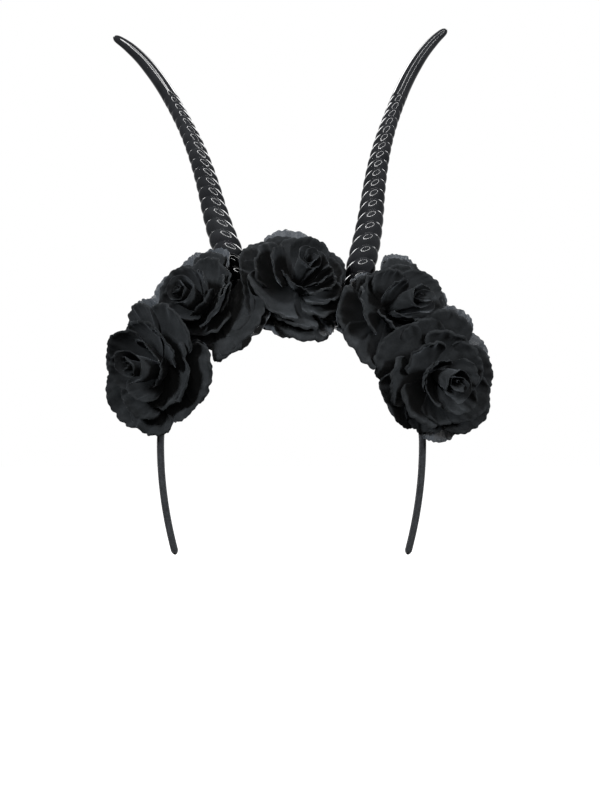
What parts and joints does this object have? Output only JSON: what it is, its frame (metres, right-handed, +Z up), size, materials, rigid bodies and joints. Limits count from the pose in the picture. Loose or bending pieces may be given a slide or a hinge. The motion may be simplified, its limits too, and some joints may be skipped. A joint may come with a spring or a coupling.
{
  "type": "headband",
  "caption": "Thin fabric-wrapped headband with long ribbed curving horns and layered fabric roses along the crown.",
  "frame": {"origin": "middle of the band's inner face at the crown, where the band rests on the head", "axes": "+Z up along the worn headband's height, +X to the right as seen from the front, -Y towards the viewer, the way the roses face"},
  "size_m": [0.2243, 0.1319, 0.3148],
  "materials": {
    "band_fabric": "matt black woven tape",
    "horn_plastic": "glossy black injection-moulded plastic",
    "petal_fabric": "matt black stiffened polyester",
    "sheer_fabric": "sheer black organza",
    "calyx_plastic": "plain black moulded plastic"
  },
  "bodies": {
    "root": {"headband": "band_fabric", "horn_left": "horn_plastic", "horn_right": "horn_plastic", "rose_left_low_calyx": "calyx_plastic", "rose_left_low_sheer_petals": "sheer_fabric", "rose_left_low_outer_petals": "petal_fabric", "rose_left_low_middle_petals": "petal_fabric", "rose_left_low_inner_petals": "petal_fabric", "rose_left_low_bud": "petal_fabric", "rose_left_high_calyx": "calyx_plastic", "rose_left_high_sheer_petals": "sheer_fabric", "rose_left_high_outer_petals": "petal_fabric", "rose_left_high_middle_petals": "petal_fabric", "rose_left_high_inner_petals": "petal_fabric", "rose_left_high_bud": "petal_fabric", "rose_centre_calyx": "calyx_plastic", "rose_centre_sheer_petals": "sheer_fabric", "rose_centre_outer_petals": "petal_fabric", "rose_centre_middle_petals": "petal_fabric", "rose_centre_inner_petals": "petal_fabric", "rose_centre_bud": "petal_fabric", "rose_right_high_calyx": "calyx_plastic", "rose_right_high_sheer_petals": "sheer_fabric", "rose_right_high_outer_petals": "petal_fabric", "rose_right_high_middle_petals": "petal_fabric", "rose_right_high_inner_petals": "petal_fabric", "rose_right_high_bud": "petal_fabric", "rose_right_low_calyx": "calyx_plastic", "rose_right_low_sheer_petals": "sheer_fabric", "rose_right_low_outer_petals": "petal_fabric", "rose_right_low_middle_petals": "petal_fabric", "rose_right_low_inner_petals": "petal_fabric", "rose_right_low_bud": "petal_fabric"}
  },
  "joints": []
}
